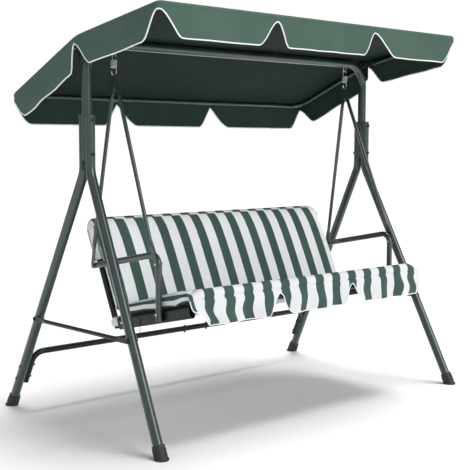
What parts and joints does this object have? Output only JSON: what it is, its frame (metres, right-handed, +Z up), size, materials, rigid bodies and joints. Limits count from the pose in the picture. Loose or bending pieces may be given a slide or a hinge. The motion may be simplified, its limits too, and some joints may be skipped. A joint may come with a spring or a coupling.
{
  "type": "canopy swing bench",
  "caption": "Garden swing bench hung by springs from a tubular steel A-frame, with a striped padded seat and back and a tilting scalloped fabric canopy.",
  "frame": {"origin": "On the floor under the middle of the stand, midway between the four feet", "axes": "+X to the right of the bench seen from the front, -Y towards the front, +Z up"},
  "size_m": [1.754, 1.076, 1.5928],
  "materials": {
    "frame_green": "satin dark green powder coat on steel tube",
    "zinc": "zinc plated steel",
    "foot_plastic": "matt black plastic",
    "cap_plastic": "matt black plastic plug",
    "knob_plastic": "black moulded plastic",
    "stripe_fabric": "woven polyester, green and white stripes",
    "back_fabric": "white woven polyester",
    "sling_fabric": "dark woven seat sling",
    "canopy_fabric": "grey-green woven polyester",
    "piping": "white binding tape"
  },
  "bodies": {
    "stand": {"leg_front_left": "frame_green", "leg_front_right": "frame_green", "leg_rear_left": "frame_green", "leg_rear_right": "frame_green", "foot_cap_front_left": "foot_plastic", "foot_cap_front_right": "foot_plastic", "foot_cap_rear_left": "foot_plastic", "foot_cap_rear_right": "foot_plastic", "hoop_left": "frame_green", "hoop_right": "frame_green", "spring_eye_left": "zinc", "spring_eye_right": "zinc", "side_brace_left": "frame_green", "side_brace_right": "frame_green", "rear_bar_left": "frame_green", "rear_bar_right": "frame_green", "stand_bolts": "zinc", "stand_nuts": "zinc", "canopy_bracket_left": "frame_green", "canopy_bracket_right": "frame_green"},
    "springs": {"spring_left": "zinc", "spring_right": "zinc"},
    "seat": {"hanger_front_left": "frame_green", "hanger_front_right": "frame_green", "hanger_rear_left": "frame_green", "hanger_rear_right": "frame_green", "armrest_left": "frame_green", "armrest_right": "frame_green", "seat_rail_left": "frame_green", "seat_rail_right": "frame_green", "rail_cap_left": "cap_plastic", "rail_cap_right": "cap_plastic", "front_cross_rail": "frame_green", "back_frame": "frame_green", "back_lower_tube": "frame_green", "back_lug_left": "frame_green", "back_lug_right": "frame_green", "seat_sling": "sling_fabric", "seat_bolts": "zinc", "seat_nuts": "zinc", "seat_cushion": "stripe_fabric", "back_cushion": "stripe_fabric", "seat_valance": "stripe_fabric", "valance_piping": "piping", "cover_rear_roll": "back_fabric", "cover_tie": "piping"},
    "canopy": {"canopy_bar_front": "frame_green", "canopy_bar_rear": "frame_green", "canopy_bolts": "zinc", "canopy_roof": "canopy_fabric", "canopy_valance_front": "canopy_fabric", "canopy_valance_rear": "canopy_fabric", "canopy_valance_left": "canopy_fabric", "canopy_valance_right": "canopy_fabric", "canopy_piping": "piping"},
    "knob_left": {"knob_left": "knob_plastic"},
    "knob_right": {"knob_right": "knob_plastic"}
  },
  "joints": [
    {"name": "swing", "type": "hinge", "parent": "stand", "child": "springs", "pos_m": [0, 0, 1.452], "axis": [1, 0, 0], "range_deg": [-20, 20]},
    {"name": "bounce", "type": "slide", "parent": "springs", "child": "seat", "axis": [0, 0, -1], "range_m": [0, 0.03], "stiffness_N_per_m": 60000, "springref_m": -0.004, "deforming": ["spring_left", "spring_right"]},
    {"name": "canopy_tilt", "type": "hinge", "parent": "stand", "child": "canopy", "pos_m": [0, 0, 1.488], "axis": [1, 0, 0], "range_deg": [-8.6, 41.4]},
    {"name": "knob_left_turn", "type": "hinge", "parent": "canopy", "child": "knob_left", "pos_m": [-0.8, 0, 1.488], "axis": [1, 0, 0], "continuous": true},
    {"name": "knob_right_turn", "type": "hinge", "parent": "canopy", "child": "knob_right", "pos_m": [0.8, 0, 1.488], "axis": [1, 0, 0], "continuous": true}
  ]
}
